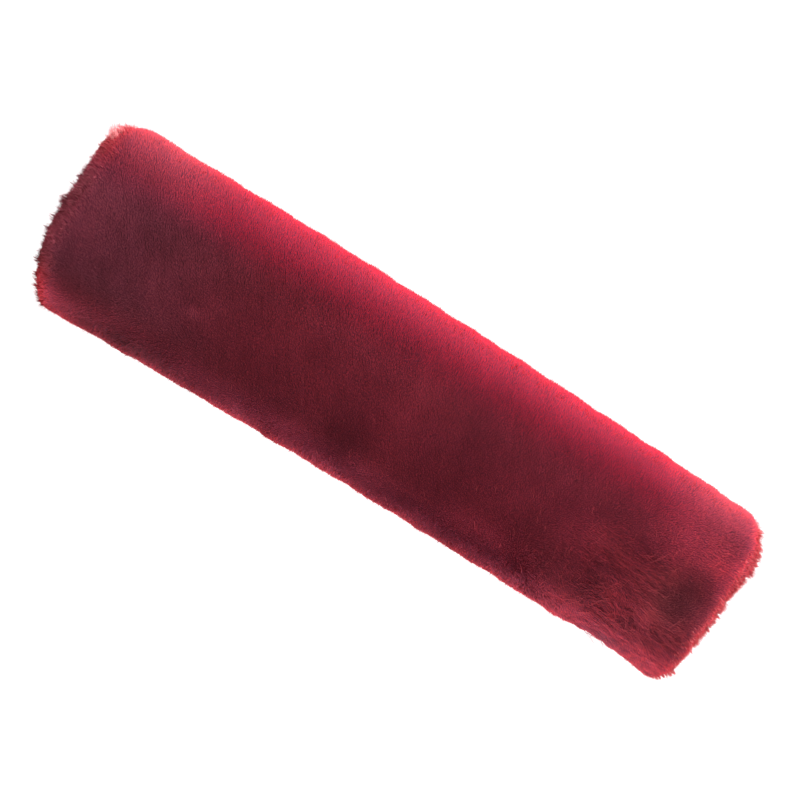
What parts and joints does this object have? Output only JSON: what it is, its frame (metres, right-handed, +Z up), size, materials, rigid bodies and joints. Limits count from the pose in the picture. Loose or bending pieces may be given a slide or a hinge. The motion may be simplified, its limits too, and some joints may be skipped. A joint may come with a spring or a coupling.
{
  "type": "seat belt shoulder pad",
  "caption": "Soft sheepskin sleeve that closes round a seat belt with hook and loop tape and cushions the shoulder.",
  "frame": {"origin": "under the middle of the pad, on the flat wool that it lies on", "axes": "+X along the pad and the belt, +Y across the belt, +Z up from the closed seam to the shown side"},
  "size_m": [0.2843, 0.0749, 0.0293],
  "materials": {
    "wool": "matte",
    "skin": "matte",
    "loop_tape": "matte",
    "hook_tape": "satin",
    "thread": "satin"
  },
  "bodies": {
    "root": {"sheepskin_wrap": "wool", "loop_tape": "loop_tape", "hook_tape": "hook_tape", "loop_tape_inner_stitches": "thread", "loop_tape_outer_stitches": "thread", "hook_tape_inner_stitches": "thread", "hook_tape_outer_stitches": "thread"}
  },
  "joints": []
}
